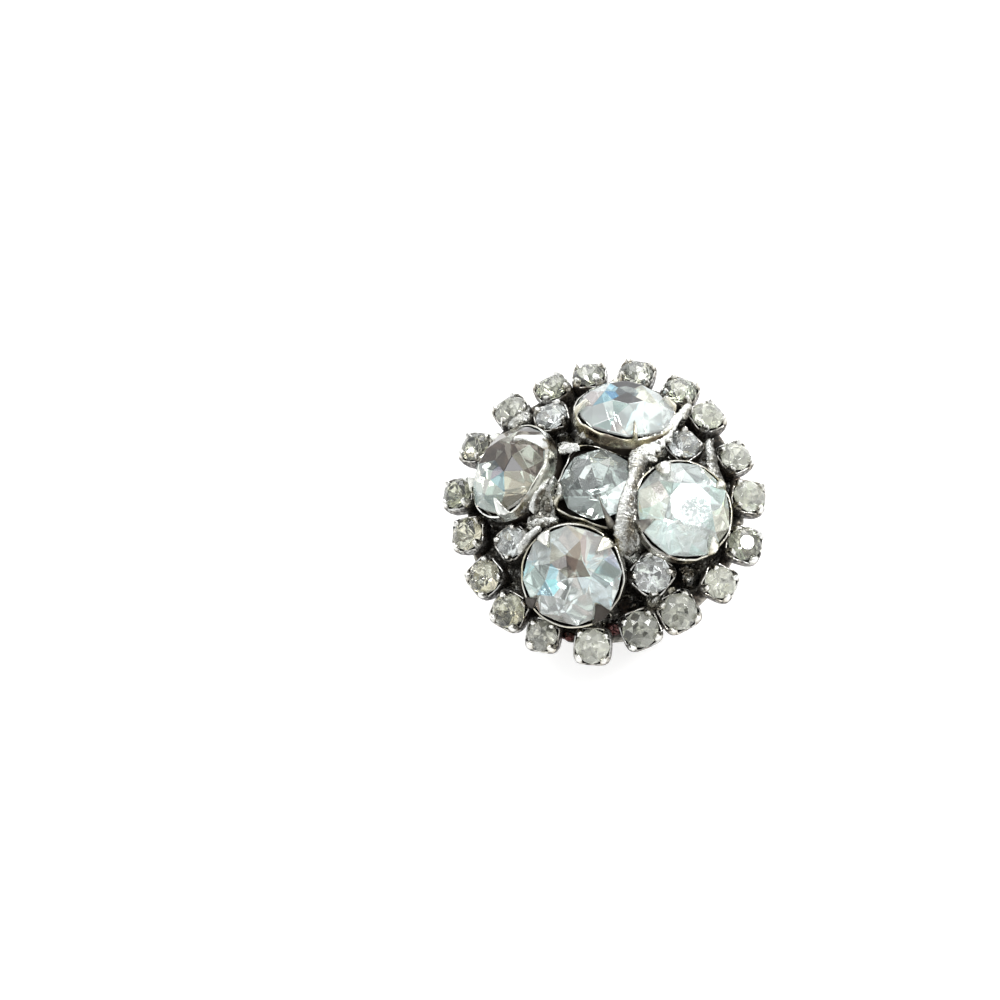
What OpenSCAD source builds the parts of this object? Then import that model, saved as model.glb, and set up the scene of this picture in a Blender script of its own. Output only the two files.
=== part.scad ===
/* [Ring of small settings] */
// Radius of the circle that the ring settings stand on, before each one's own offset
ring_reach = 13; // [12.9:0.1:13.3]
// Outward lean of each ring setting, in degrees
ring_lean = 22; // [18:1:26]
// Height of the ring stones' girdles above the surface that the earring rests on
ring_height = 9.8; // [9.6:0.1:10.6]

/* [Small stones and their cups] */
// Usual width of a small stone, corner to corner
small_width = 3.05; // [2.9:0.05:3.1]
// Wall of a small square cup
small_wall = 0.17; // [0.15:0.01:0.22]
// Depth of a small cup below its stone's girdle
small_cup_depth = 1.75; // [1.65:0.05:1.9]

/* [Large stones and their cups] */
// Width of a large stone, corner to corner
large_width = 9; // [8.8:0.1:9.1]
// Wall of a large cup
large_wall = 0.36; // [0.3:0.02:0.4]
// Depth of a large cup below its stone's girdle
large_cup_depth = 3.9; // [3.8:0.1:4.1]
// Height of the large stones' girdle centres above the ring stones
large_rise = 3.3; // [3.2:0.1:3.5]

/* [Centre stone and its cup] */
// Width of the centre stone, corner to corner
centre_width = 6.8; // [6.6:0.1:6.9]
// Height of the centre stone's girdle above the ring stones
centre_rise = 4.7; // [4.5:0.1:5.0]
// Outside width of the square centre cup
centre_cup_width = 7.6; // [7.5:0.1:7.8]

/* [Accent stones] */
// Height of the accent stones' girdles above the ring stones
accent_rise = 1.6; // [1.5:0.1:1.8]
// Outward lean of each accent setting, in degrees
accent_lean = 18; // [14:1:22]

/* [Backing plate] */
// Radius of the backing plate
plate_r = 12.2; // [12.0:0.1:12.3]
// Thickness of the backing plate
plate_t = 0.5; // [0.4:0.1:0.7]
// Thickness of the wire that runs round the plate's rim, under the ring settings
rim_wire = 1.2; // [1.1:0.1:1.4]

/* [Ear clip] */
// Thickness of the clip's strap
clip_t = 1.0; // [0.9:0.1:1.1]
// Width of the clip's strap and foot
clip_strap_w = 5; // [4.5:0.5:6]
// Width of the pad that presses behind the lobe
clip_pad_w = 9; // [8:0.5:10]
// Distance from the hinge bend's centre line to the earring's axis
clip_bend_x = 5.6; // [5.2:0.2:6]
// Distance from the earring's axis to the pad's free end
clip_pad_reach = 8; // [7:0.5:9]

/* [Hidden] */
// Air left between separate pieces
gap = 0.05;
// Smoothness of the turned surfaces
$fn = 48;

// Ring settings, anticlockwise from the hinge side
// Columns: angle, offset of its radius from ring_reach, spin about its own axis, size of its stone
ring_seats = [
    [357.4, 0.5, 6, 1.04], [17.2, 0.25, -5, 1], [35.4, -0.24, 12, 0.97], [57.3, -0.32, -8, 1],
    [73.4, 0.1, 10, 1.02], [93.0, 0.35, -3, 1.03], [112.2, 0.05, -6, 0.98], [128.4, -0.25, 7, 1.02],
    [147.7, 0.08, -9, 1.02], [168.7, 0.4, 8, 0.97], [189.4, 0.5, 4, 0.97], [207.2, -0.35, -12, 1.02],
    [227.8, -0.35, 5, 1.06], [245.7, 0.1, 9, 1.06], [262.5, 0.55, 11, 0.95], [282.2, 0.63, -2, 1.04],
    [301.7, -0.4, 6, 1.1], [319.0, -0.4, -4, 1.11], [339.1, 0.2, 13, 0.98]
];
// Large settings
// Columns: name, angle, reach, lean, direction of lean, cup's spin, stone's spin
large_seats = [
    ["right", 0.2, 7.85, 24.6, 1.9, -3, -3],
    ["top", 89.5, 8.05, 37.2, 89.6, -25, 20],
    ["left", 180.2, 8.5, 36, 179.4, 12, 8],
    ["bottom", 269.7, 8.4, 27.6, 275.8, 9, 12]
];
// Accent settings, one between each two large ones
// Columns: angle, reach, spin, size of its stone, height of the solder web beside it
accent_seats = [
    [49.1, 8.95, 10, 0.97, 3.7], [135.7, 9.45, -14, 1, 1.4], [222.3, 9.05, 6, 0.96, 3.3],
    [317.3, 8.85, 20, 1.14, 2.9]
];

// Cut of the stones, as shares of their width
table_share = 0.46;
crown_share = 0.2;
pavilion_share = 0.38;
edge_share = 0.03;
// Slope of the crown and of the pavilion, as height for each millimetre outwards
crown_slope = 2 * crown_share / (1 - table_share);
pavilion_slope = 2 * pavilion_share;
// How far a stone's eight flats are cut in from its round outline
flat_cut = 0.045;
// Share of the way out from the table, or the point, at which the facets meet between corners
crown_meet = 0.55;
pavilion_meet = 0.62;

// Claws: how far up the crown they reach, as a share of its slope, and their thickness
claw_share = 0.5;
small_claw_t = 0.3;
large_claw_t = 0.4;
// Gap between two claws of a small cup, and how far it is cut below the girdle
small_slot_w = 1.9;
small_slot_drop = 0.25;
// Radius and height of the round scallops cut between a large cup's claws
scallop_r = 3.0;
scallop_z = 2.55;
centre_scallop_r = 2.9;
centre_scallop_z = 2.5;
// Floor of a cup below its stone's point
cup_floor = 0.3;
centre_cup_depth = centre_width * (pavilion_share + edge_share / 2) + 2 * cup_floor;
centre_cup_spin = -5;
centre_stone_spin = 10;
// Columns of solder that carry the cups, and webs that fill the space between them
centre_column_r = 2.7;
large_post_r = 1.5;
accent_post_r = 1.2;
web_r = 1.0;
web_inner_reach = 4.1;
web_outer_reach = 7.6;

plate_top = ring_height - 1.9;
plate_bottom = plate_top - plate_t;
clip_top = plate_bottom - gap;
clip_bend_r = clip_top / 2;
clip_foot_reach = 4.5;
clip_corner_r = 1.2;
clip_pad_inner = 3;
clip_pad_corner_r = 3.5;

// Point on a circle in the stone's frame
function ring_point(r, a, z) = [r * cos(a), r * sin(a), z];

// Joins the upper ring a of n points to the lower ring b, as triangles
function band(a, b, n) = [
    for (k = [0 : n - 1]) let (m = (k + 1) % n)
        each [[a + k, b + m, b + k], [a + k, a + m, b + m]]
];

// A cut stone: octagonal table, 8 star, 8 kite and 16 girdle facets on the crown,
// 16 girdle and 8 main facets on the pavilion. The girdle lies in the plane z = 0.
module cut_stone(width) {
    r = width / 2;
    flat_r = r * (1 - flat_cut);
    table_r = r * table_share;
    half_edge = width * edge_share / 2;
    table_z = half_edge + width * crown_share;
    point_z = -half_edge - width * pavilion_share;
    // The facets meet where each kite stays flat
    meet_r = table_r + (r - table_r) * crown_meet;
    meet_z = table_z - (meet_r * cos(22.5) - table_r) * (table_z - half_edge) / (r - table_r);
    low_r = r * pavilion_meet;
    low_z = point_z + low_r * cos(22.5) * (-half_edge - point_z) / r;
    girdle_r = [for (k = [0 : 15]) k % 2 == 0 ? r : flat_r];
    // Rings of points: table 0, crown meets 8, girdle top 16, girdle foot 32, pavilion meets 48, point 56
    points = concat(
        [for (k = [0 : 7]) ring_point(table_r, k * 45, table_z)],
        [for (k = [0 : 7]) ring_point(meet_r, k * 45 + 22.5, meet_z)],
        [for (k = [0 : 15]) ring_point(girdle_r[k], k * 22.5, half_edge)],
        [for (k = [0 : 15]) ring_point(girdle_r[k], k * 22.5, -half_edge)],
        [for (k = [0 : 7]) ring_point(low_r, k * 45 + 22.5, low_z)],
        [[0, 0, point_z]]
    );
    facets = concat(
        [[for (k = [7 : -1 : 0]) k]],
        [for (k = [0 : 7]) let (n = (k + 1) % 8, before = (k + 7) % 8, g = 16 + 2 * k, h = 16 + (2 * k + 2) % 16)
            each [[k, n, 8 + k], [k, 8 + k, g], [k, g, 8 + before], [8 + k, g + 1, g], [8 + k, h, g + 1]]],
        band(16, 32, 16),
        [for (k = [0 : 7]) let (before = (k + 7) % 8, g = 32 + 2 * k, h = 32 + (2 * k + 2) % 16)
            each [[56, g, 48 + k], [56, 48 + before, g], [48 + k, g, g + 1], [48 + k, g + 1, h]]]
    );
    polyhedron(points, facets, convexity = 4);
}

// Moves its children to a seat: reach r at angle a, height z, leaning outwards, spun about their own axis
module at_seat(a, r, z, lean, lean_a, spin) {
    translate([r * cos(a), r * sin(a), z])
        rotate([0, 0, lean_a]) rotate([0, lean, 0]) rotate([0, 0, spin]) children();
}
module at_ring_seat(seat) {
    at_seat(seat[0], ring_reach + seat[1], ring_height, ring_lean, seat[0], seat[2]) children();
}
module at_accent_seat(seat) {
    at_seat(seat[0], seat[1], ring_height + accent_rise, accent_lean, seat[0], seat[2]) children();
}
module at_large_seat(seat, spin) {
    at_seat(seat[1], seat[2], ring_height + large_rise, seat[3], seat[4], spin) children();
}
module at_centre(spin) {
    translate([0, 0, ring_height + centre_rise]) rotate([0, 0, spin]) children();
}

// Half section of the space cut out for a stone: a hollow below its ledge, the room that the stone
// fills when it is turned about its axis, with air round it, and the way in between the claws
function seat_outline(width, floor_z, floor_r) = let (
    r = width / 2 + gap,
    edge = width * edge_share / 2 + gap,
    hollow_r = 0.78 * width / 2,
    claw_r = width / 2 * (1 - (1 - table_share) * claw_share),
    top = edge + width * crown_share + gap
) [
    [0, floor_z], [floor_r, floor_z], [hollow_r, floor_z + hollow_r - floor_r],
    [hollow_r, -edge - pavilion_slope * (r - hollow_r)], [r, -edge], [r, edge],
    [claw_r, edge + crown_slope * (r - claw_r)], [claw_r, top], [0, top]
];
module small_seat(size) {
    width = small_width * size;
    rotate_extrude() polygon(seat_outline(width, cup_floor - small_cup_depth, 0.3 * width));
}
module centre_seat() {
    rotate_extrude() polygon(seat_outline(centre_width, cup_floor - centre_cup_depth, 0.25 * centre_width));
}
module large_seat() {
    rotate_extrude() polygon(seat_outline(large_width, cup_floor - large_cup_depth, 0.24 * large_width));
}

// Outside of a square cup with four corner claws, which its children are cut out of
module square_cup(stone, cup, depth, claw_t) {
    half = cup / 2;
    corner_r = half * 1.24;
    edge = stone * edge_share / 2;
    claw_r = stone / 2 * (1 - (1 - table_share) * claw_share);
    claw_z = edge + stone * crown_share * claw_share + claw_t;
    difference() {
        intersection() {
            translate([-half, -half, -depth]) cube([cup, cup, depth + claw_z]);
            rotate_extrude() polygon([
                [0, -depth], [corner_r * 0.9, -depth], [corner_r, -depth * 0.6],
                [corner_r, edge], [claw_r + 0.05 * stone, claw_z], [0, claw_z]
            ]);
        }
        children();
    }
}

module small_cup(size) {
    width = small_width * size;
    cup = width + 2 * (gap + small_wall);
    square_cup(width, cup, small_cup_depth, small_claw_t)
        for (a = [0, 90]) rotate([0, 0, a])
            translate([-cup, -small_slot_w / 2, -small_slot_drop]) cube([2 * cup, small_slot_w, cup]);
}

module centre_cup() {
    square_cup(centre_width, centre_cup_width, centre_cup_depth, large_claw_t)
        for (a = [0, 90]) rotate([0, 0, a]) translate([0, 0, centre_scallop_z]) rotate([0, 90, 0])
            cylinder(r = centre_scallop_r, h = 2 * centre_cup_width, center = true);
}

// Outside of a round cup whose wall rises to four pointed claws, with round scallops between them
module large_cup() {
    edge = large_width * edge_share / 2;
    out_r = large_width / 2 + gap + large_wall;
    claw_r = large_width / 2 * (1 - (1 - table_share) * claw_share);
    claw_z = edge + large_width * crown_share * claw_share + large_claw_t;
    difference() {
        rotate_extrude() polygon([
            [0, -large_cup_depth], [out_r * 0.5, -large_cup_depth], [out_r * 0.8, -large_cup_depth * 0.68],
            [out_r, -large_cup_depth * 0.25], [out_r, edge + 0.1], [out_r - 0.25, edge + 0.55],
            [claw_r, claw_z], [0, claw_z]
        ]);
        for (a = [0, 90]) rotate([0, 0, a]) translate([0, 0, scallop_z]) rotate([0, 90, 0])
            cylinder(r = scallop_r, h = 3 * large_width, center = true);
    }
}

// Upright column of solder from inside the backing plate to a height above the ring stones
module post(a, reach, r, top) {
    foot = plate_top - plate_t / 2;
    translate([reach * cos(a), reach * sin(a), foot]) cylinder(r = r, h = ring_height + top - foot);
}

// Sloping web of solder between two large cups, from the centre cup down to the accent cup
module web(a, top) {
    run = web_outer_reach - web_inner_reach;
    drop = top - 0.2;
    translate([web_inner_reach * cos(a), web_inner_reach * sin(a), ring_height + top])
        rotate([0, 0, a]) rotate([0, 90 + atan2(drop, run), 0]) cylinder(r = web_r, h = norm([run, drop]));
}

module backing_plate() {
    translate([0, 0, plate_bottom]) cylinder(r = plate_r, h = plate_t, $fn = 96);
    translate([0, 0, plate_top + 0.1])
        rotate_extrude($fn = 96) translate([plate_r - 0.1, 0]) circle(d = rim_wire, $fn = 24);
}

// Everything in front that is soldered together, before the stones' seats are cut
module soldered_metal() {
    backing_plate();
    for (seat = ring_seats) at_ring_seat(seat) small_cup(seat[3]);
    for (seat = accent_seats) {
        at_accent_seat(seat) small_cup(seat[3]);
        post(seat[0], seat[1] - 0.5, accent_post_r, 0.2);
        web(seat[0], seat[4]);
    }
    for (seat = large_seats) {
        at_large_seat(seat, seat[5]) large_cup();
        post(seat[1], seat[2] - 2, large_post_r, 0);
    }
    at_centre(centre_cup_spin) centre_cup();
    post(0, 0, centre_column_r, centre_rise - centre_cup_depth + cup_floor / 2);
}

// The soldered metal: plate, ring, large, centre and accent settings, with a seat for each stone
module setting_frame() {
    color([0.62, 0.6, 0.56]) difference() {
        soldered_metal();
        for (seat = ring_seats) at_ring_seat(seat) small_seat(seat[3]);
        for (seat = accent_seats) at_accent_seat(seat) small_seat(seat[3]);
        for (seat = large_seats) at_large_seat(seat, seat[5]) large_seat();
        at_centre(centre_cup_spin) centre_seat();
    }
}

// A plate with round corners, centred on the Y axis
module rounded_plate(x, w, r) {
    for (end = x, side = [-1, 1]) {
        inset = end == x[0] ? r : -r;
        translate([end + inset, side * (w / 2 - r)]) circle(r = r);
    }
    translate([x[0], r - w / 2]) square([x[1] - x[0], w - 2 * r]);
    translate([x[0] + r, -w / 2]) square([x[1] - x[0] - 2 * r, w]);
}

// One bent strip: a foot under the backing plate, a round bend, and a pad that presses behind the lobe
module ear_clip() {
    color([0.66, 0.64, 0.6]) {
        translate([0, 0, clip_top - clip_t]) linear_extrude(clip_t) {
            rounded_plate([-clip_foot_reach, clip_bend_x - 1], clip_strap_w, clip_corner_r);
            translate([0, -clip_strap_w / 2]) square([clip_bend_x, clip_strap_w]);
        }
        linear_extrude(clip_t) {
            rounded_plate([-clip_pad_reach, clip_pad_inner], clip_pad_w, clip_pad_corner_r);
            translate([0, -clip_strap_w / 2]) square([clip_bend_x, clip_strap_w]);
        }
        translate([clip_bend_x, clip_strap_w / 2, clip_bend_r]) rotate([90, 0, 0]) linear_extrude(clip_strap_w)
            difference() {
                circle(r = clip_bend_r);
                circle(r = clip_bend_r - clip_t);
                translate([-2 * clip_bend_r, -clip_bend_r]) square(2 * clip_bend_r);
            }
    }
}

module stone_node(width) {
    color([0.88, 0.93, 0.94]) cut_stone(width);
}

setting_frame();
ear_clip();
at_centre(centre_stone_spin) stone_node(centre_width);  // centre_stone
for (seat = large_seats)
    at_large_seat(seat, seat[6]) stone_node(large_width);
for (i = [1 : len(accent_seats)]) let (seat = accent_seats[i - 1])
    at_accent_seat(seat) stone_node(small_width * seat[3]);
for (i = [1 : len(ring_seats)]) let (seat = ring_seats[i - 1])
    at_ring_seat(seat) stone_node(small_width * seat[3]);
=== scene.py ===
import bpy
import numpy as np
from mathutils import Matrix, Vector


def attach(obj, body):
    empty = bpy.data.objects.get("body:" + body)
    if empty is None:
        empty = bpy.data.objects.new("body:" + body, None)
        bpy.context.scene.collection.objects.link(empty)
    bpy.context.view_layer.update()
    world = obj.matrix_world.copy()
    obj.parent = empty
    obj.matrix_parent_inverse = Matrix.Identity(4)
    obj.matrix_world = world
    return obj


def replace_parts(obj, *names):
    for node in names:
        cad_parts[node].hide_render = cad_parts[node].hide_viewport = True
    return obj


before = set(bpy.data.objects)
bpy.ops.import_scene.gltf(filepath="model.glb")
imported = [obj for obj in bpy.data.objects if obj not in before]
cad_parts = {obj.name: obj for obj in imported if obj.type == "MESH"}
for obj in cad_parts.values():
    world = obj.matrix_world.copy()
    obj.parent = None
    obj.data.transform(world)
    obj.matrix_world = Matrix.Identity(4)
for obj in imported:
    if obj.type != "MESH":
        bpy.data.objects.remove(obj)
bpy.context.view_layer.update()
mm = 0.001  # sizes below are in millimetres, meshes in metres
dice = np.random.default_rng(27)
print("frame loaded:", len(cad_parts), "nodes")


# Small tools for arrays, meshes and nodes

def smooth(x, low, high):  # 0 below low, 1 above high, smooth between
    t = np.clip((x - low) / (high - low), 0, 1)
    return t * t * (3 - 2 * t)


def smoothMax(a, b, reach):  # larger of two heights, rounded where they meet
    blend = np.clip(0.5 + 0.5 * (a - b) / reach, 0, 1)
    return b + (a - b) * blend + reach * blend * (1 - blend)


def fullTurn(count):  # angles all the way round
    return np.linspace(0, 2 * np.pi, count, endpoint=False)


def blunted(value, power):  # a sine or cosine with its swings made squarer by a power under 1
    return np.sign(value) * np.abs(value) ** power


def readArray(items, key, size):  # one row of size numbers for each item
    values = np.zeros(len(items) * size)
    items.foreach_get(key, values)
    return values.reshape(-1, size)


def wander(x, y, z, scale, seed):  # gentle seeded unevenness from a few sine waves, about -1 to 1
    pick = np.random.default_rng(seed)
    total = 0
    for wave in range(5):
        way = pick.normal(size=3)
        phase = pick.uniform(0, 6.3)
        total = total + np.sin((x * way[0] + y * way[1] + z * way[2]) / scale * (1 + 0.4 * wave) + phase)
    return total / 3


def seatOf(nodeName):
    # Where a stone sits, read from its solid: middle of its girdle, axis, downhill side, spin and width
    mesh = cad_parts[nodeName].data
    points = readArray(mesh.vertices, "co", 3) / mm
    normals = readArray(mesh.polygons, "normal", 3)
    areas = readArray(mesh.polygons, "area", 1)[:, 0]
    axis = normals[np.argmax((normals @ normals.T > 0.9999) @ areas)]  # the table is the largest facet
    tip = points[np.argmin(points @ axis)]
    outward = points - tip - np.outer((points - tip) @ axis, axis)
    radius = np.linalg.norm(outward, axis=1)
    corner = radius > 0.998 * radius.max()
    level = (points - tip) @ axis
    girdle = (level[corner].min() + level[corner].max()) / 2
    downhill = axis * axis[2] - [0, 0, 1]
    if np.linalg.norm(downhill) < 0.02:
        downhill = np.array([1.0, 0, 0])
    downhill = downhill / np.linalg.norm(downhill)
    side = np.cross(axis, downhill)
    turn = np.degrees(np.arctan2(outward[corner][0] @ side, outward[corner][0] @ downhill))
    return {
        "middle": tip + girdle * axis,
        "axes": np.stack([downhill, side, axis], 1),
        "spin": (turn + 22.5) % 45 - 22.5,
        "width": 2 * radius.max(),
    }


def atSeat(local, seat, spin):
    # Turns local points about the seat's axis, then moves them to the seat
    c, s = np.cos(np.radians(spin)), np.sin(np.radians(spin))
    turn = np.array([[c, -s, 0], [s, c, 0], [0, 0, 1]])
    return local @ turn.T @ seat["axes"].T + seat["middle"]


def closedGrid(rows, grime, rub):
    # Quads between neighbouring rows of a grid that closes on itself, and a fan of triangles at each end.
    # Each point also gets how much grime and painted shade and how much rubbed wear and painted highlight the
    # metal shows there, from 0 to 1
    count, columns = rows.shape[:2]
    first = np.arange(count - 1)[:, None] * columns
    here = first + np.arange(columns)
    there = first + (np.arange(columns) + 1) % columns
    quads = np.stack([here, there, there + columns, here + columns], -1).reshape(-1, 4)
    start, end = count * columns, count * columns + 1
    ring = np.arange(columns)
    after = (ring + 1) % columns
    last = (count - 1) * columns
    fans = np.concatenate([
        np.stack([after, ring, np.full(columns, start)], 1),
        np.stack([last + ring, last + after, np.full(columns, end)], 1),
    ])
    points = np.concatenate([rows.reshape(-1, 3), rows[:1].mean(1), rows[-1:].mean(1)])
    values = {}
    for key, value in {"grime": grime, "rub": rub}.items():
        value = np.clip(value, 0, 1)
        values[key] = np.concatenate([value.ravel(), value[:1].mean(1), value[-1:].mean(1)])
    return points, quads, fans, values


def outward(points, quads, fans):
    # Turns all faces round if the closed surface would face inwards
    corners = points[np.concatenate([quads[:, :3], quads[:, [0, 2, 3]], fans])]
    volume = np.einsum("ij,ij->i", corners[:, 0], np.cross(corners[:, 1], corners[:, 2])).sum()
    return (quads, fans) if volume > 0 else (quads[:, ::-1], fans[:, ::-1])


def addObject(name, data):
    thing = bpy.data.objects.new(name, data)
    bpy.context.scene.collection.objects.link(thing)
    return thing


def makePiece(name, parts, material, smoothAngle=40):
    # Joins parts from closedGrid, in millimetres, into one mesh
    points, faces, start = [], [], 0
    for part in parts:
        quads, fans = outward(*part[:3])
        points.append(part[0])
        faces += (quads + start).tolist() + (fans + start).tolist()
        start += len(part[0])
    mesh = bpy.data.meshes.new(name)
    mesh.from_pydata((np.concatenate(points) * mm).tolist(), [], faces)
    for key in parts[0][3]:
        values = np.concatenate([part[3][key] for part in parts]).astype(np.float32)
        mesh.attributes.new(key, "FLOAT", "POINT").data.foreach_set("value", values)
    mesh.shade_smooth()
    mesh.set_sharp_from_angle(angle=np.radians(smoothAngle))
    mesh.materials.append(material)
    piece = addObject(name, mesh)
    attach(piece, "root")
    return piece


def fillSockets(tree, node, links):
    # Fills a node's sockets, by name or number, with another node's output or with a value
    for key, value in links.items():
        socket = node.inputs[key]
        if isinstance(value, bpy.types.NodeSocket):
            tree.links.new(value, socket)
        else:
            socket.default_value = (*value, 1.0) if socket.type == "RGBA" else value


def addNode(tree, kind, links=None, **values):
    # A shader node; values set its properties, links fill its sockets
    node = tree.nodes.new("ShaderNode" + kind)
    for key, value in values.items():
        setattr(node, key, value)
    fillSockets(tree, node, links or {})
    return node


def noiseOf(tree, spot, size, detail=3, rough=0.55, stretch=(1, 1, 1)):
    # Noise whose blobs are about size millimetres wide
    turned = addNode(tree, "Mapping", {"Vector": spot, "Scale": stretch}).outputs[0]
    links = {"Vector": turned, "Scale": 1 / (size * mm), "Detail": detail, "Roughness": rough}
    return addNode(tree, "TexNoise", links).outputs["Fac"]


def rangeOf(tree, value, low, high, toLow=0.0, toHigh=1.0):  # eased from one range into another
    links = {"Value": value, "From Min": low, "From Max": high, "To Min": toLow, "To Max": toHigh}
    return addNode(tree, "MapRange", links, interpolation_type="SMOOTHSTEP").outputs[0]


def mathOf(tree, operation, a, b=0.0):
    return addNode(tree, "Math", {0: a, 1: b}, operation=operation, use_clamp=True).outputs[0]


def timesOf(tree, a, b):
    return mathOf(tree, "MULTIPLY", a, b)


def mixOf(tree, factor, a, b, blend="MIX"):
    links = {"Factor": factor, 6: a, 7: b}  # sockets 6 and 7 are its two colours
    return addNode(tree, "Mix", links, data_type="RGBA", blend_type=blend).outputs[2]


def bumpOf(tree, height, strength, deep, under=None):
    # Dents, deep millimetres at full strength, on top of those of another bump
    links = {"Height": height, "Strength": strength, "Distance": deep * mm}
    if under is not None:
        links["Normal"] = under
    return addNode(tree, "Bump", links).outputs[0]


def valueOf(tree, name, output="Fac"):
    # What the mesh says at this place: grime, rub or foil
    return addNode(tree, "Attribute", attribute_name=name).outputs[output]


def newMaterial(name):
    material = bpy.data.materials.new(name)
    material.use_nodes = True
    tree = material.node_tree
    tree.nodes.clear()
    shader = addNode(tree, "BsdfPrincipled")
    addNode(tree, "OutputMaterial", {"Surface": shader.outputs[0]})
    return material, tree, shader, addNode(tree, "TexCoord").outputs["Object"]


# Camera and light

cameraLook = dict(
    middle=(0, 0, 9.8),  # centre of the ring of settings
    right=(0.9539, 0.2807, -0.1068),  # the picture's right and up, and the way back to the viewer
    up=(-0.2232, 0.9007, 0.3725),
    back=(0.2007, -0.3315, 0.922),
    distance=250,
    frameWidth=90.66,  # what the frame takes in at that distance
    shift=(-0.1032, 0.004),
    sensor=36,
)


def makeCamera(look):
    data = bpy.data.cameras.new("camera")
    camera = addObject("camera", data)
    spot = (np.array(look["middle"]) + look["distance"] * np.array(look["back"])) * mm
    turn = Matrix([look["right"], look["up"], look["back"]]).transposed()
    camera.matrix_world = Matrix.Translation(Vector(spot)) @ turn.to_4x4()
    data.sensor_width = look["sensor"]
    data.lens = look["sensor"] * look["distance"] / look["frameWidth"]
    data.shift_x, data.shift_y = look["shift"]
    data.clip_start, data.clip_end = 0.01, 10
    bpy.context.scene.camera = camera


# Direction, distance and size of each softbox, and how bright its face is
softboxes = dict(
    keyBox=dict(way=(0.562, 0.357, 0.745), far=420, size=(115, 115), bright=22),
    leftBox=dict(way=(-0.487, 0.194, 0.849), far=450, size=(150, 110), bright=6),
    farBox=dict(way=(-0.24, 0.9, 0.36), far=600, size=(420, 160), bright=4),
)


def makeLights(boxes):
    for name, box in boxes.items():
        data = bpy.data.lights.new(name, "AREA")
        data.shape = "RECTANGLE"
        data.size, data.size_y = box["size"][0] * mm, box["size"][1] * mm
        data.energy = box["bright"] * np.pi * data.size * data.size_y
        way = Vector(box["way"]).normalized()
        turn = way.to_track_quat("Z", "Y").to_matrix().to_4x4()
        addObject(name, data).matrix_world = Matrix.Translation(way * box["far"] * mm) @ turn


roomLook = dict(
    shade=(0.22, 0.215, 0.21),  # behind the viewer
    shadeInner=0.985,  # cosines of the angles from the viewer where the shade ends
    shadeOuter=0.90,
    farSide=(-0.24, 0.97, 0.1),  # where the window side is
    dim=(1.14, 1.15, 1.15),
    bright=(1.26, 1.28, 1.30),
    turnLow=-0.8,  # cosines of the angles from the window side, at its dim and bright ends
    turnHigh=0.5,
)


def makeRoom(look):
    # Bright all round, brightest on the window side, with a shade where the viewer stands
    world = bpy.data.worlds.new("room")
    bpy.context.scene.world = world
    world.use_nodes = True
    tree = world.node_tree
    tree.nodes.clear()
    ray = addNode(tree, "TexCoord").outputs["Generated"]

    def along(way):
        links = {0: ray, 1: Vector(way).normalized()}
        return addNode(tree, "VectorMath", links, operation="DOT_PRODUCT").outputs["Value"]

    window = rangeOf(tree, along(look["farSide"]), look["turnLow"], look["turnHigh"])
    colour = mixOf(tree, window, look["dim"], look["bright"])
    behind = rangeOf(tree, along(cameraLook["back"]), look["shadeOuter"], look["shadeInner"])
    colour = mixOf(tree, behind, colour, look["shade"])
    shader = addNode(tree, "Background", {"Color": colour, "Strength": 1.0})
    addNode(tree, "OutputWorld", {"Surface": shader.outputs[0]})


floorLook = dict(
    half=1.6,  # metres
    tints=((0.9, 0.9, 0.89), (0.93, 0.93, 0.93)),
    cloudSize=60,
    rough=0.85,
    glow=0.35,  # as on a light table, so the shadow stays faint
)


def makeFloor(look):
    half = look["half"]
    corners = [(-half, -half, 0), (half, -half, 0), (half, half, 0), (-half, half, 0)]
    mesh = bpy.data.meshes.new("floor")
    mesh.from_pydata(corners, [], [(0, 1, 2, 3)])
    floor = addObject("floor", mesh)
    material, tree, shader, spot = newMaterial("floorPaper")
    fillSockets(tree, shader, {
        "Base Color": mixOf(tree, noiseOf(tree, spot, look["cloudSize"]), *look["tints"]),
        "Roughness": look["rough"],
        "Emission Color": (1, 1, 1),
        "Emission Strength": look["glow"],
    })
    mesh.materials.append(material)


makeCamera(cameraLook)
makeLights(softboxes)
makeRoom(roomLook)
makeFloor(floorLook)
bpy.context.scene.view_settings.view_transform = "Standard"
print("camera, lights and floor made")


# Metal

metalLook = dict(
    bright=(0.50, 0.50, 0.48),
    warm=(0.34, 0.31, 0.25),  # pale stains
    deep=(0.16, 0.13, 0.09),  # dark stains
    grime=(0.022, 0.018, 0.015),
    edge=(0.90, 0.90, 0.87),  # where it is rubbed bright, and where a highlight is painted
    roughLow=0.10,
    roughHigh=0.36,
    cloudSize=2.2,  # of the pale stains, in millimetres like the sizes below
    patchSize=1.3,  # of the dark stains
    stainEdge=0.12,  # how softly a stain ends
    speckSize=0.3,
    speckle=1.0,  # how much the edge of the grime and painted shade is broken up
    dentSize=0.8,
    dent=0.6,
    dentDeep=0.15,
    fineSize=0.16,
    fineDent=0.5,
    fineDeep=0.03,
    glintSize=0.45,
    glint=0.0,  # how bright its small painted glints are
)
cupLook = dict(
    metalLook, bright=(0.40, 0.39, 0.35), warm=(0.43, 0.39, 0.25), deep=(0.13, 0.10, 0.07),
    grime=(0.03, 0.024, 0.018), roughHigh=0.34, cloudSize=3.6, patchSize=2.2, stainEdge=0.1,
    speckSize=0.8, speckle=0.5, dentSize=0.9, dent=0.7,
)
# a paler cup metal for the left cup, lightened further to paint light on its shaded wall
paleLitCupLook = dict(
    cupLook, bright=(0.66, 0.68, 0.65), warm=(0.50, 0.50, 0.44), deep=(0.30, 0.26, 0.20),
)
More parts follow.
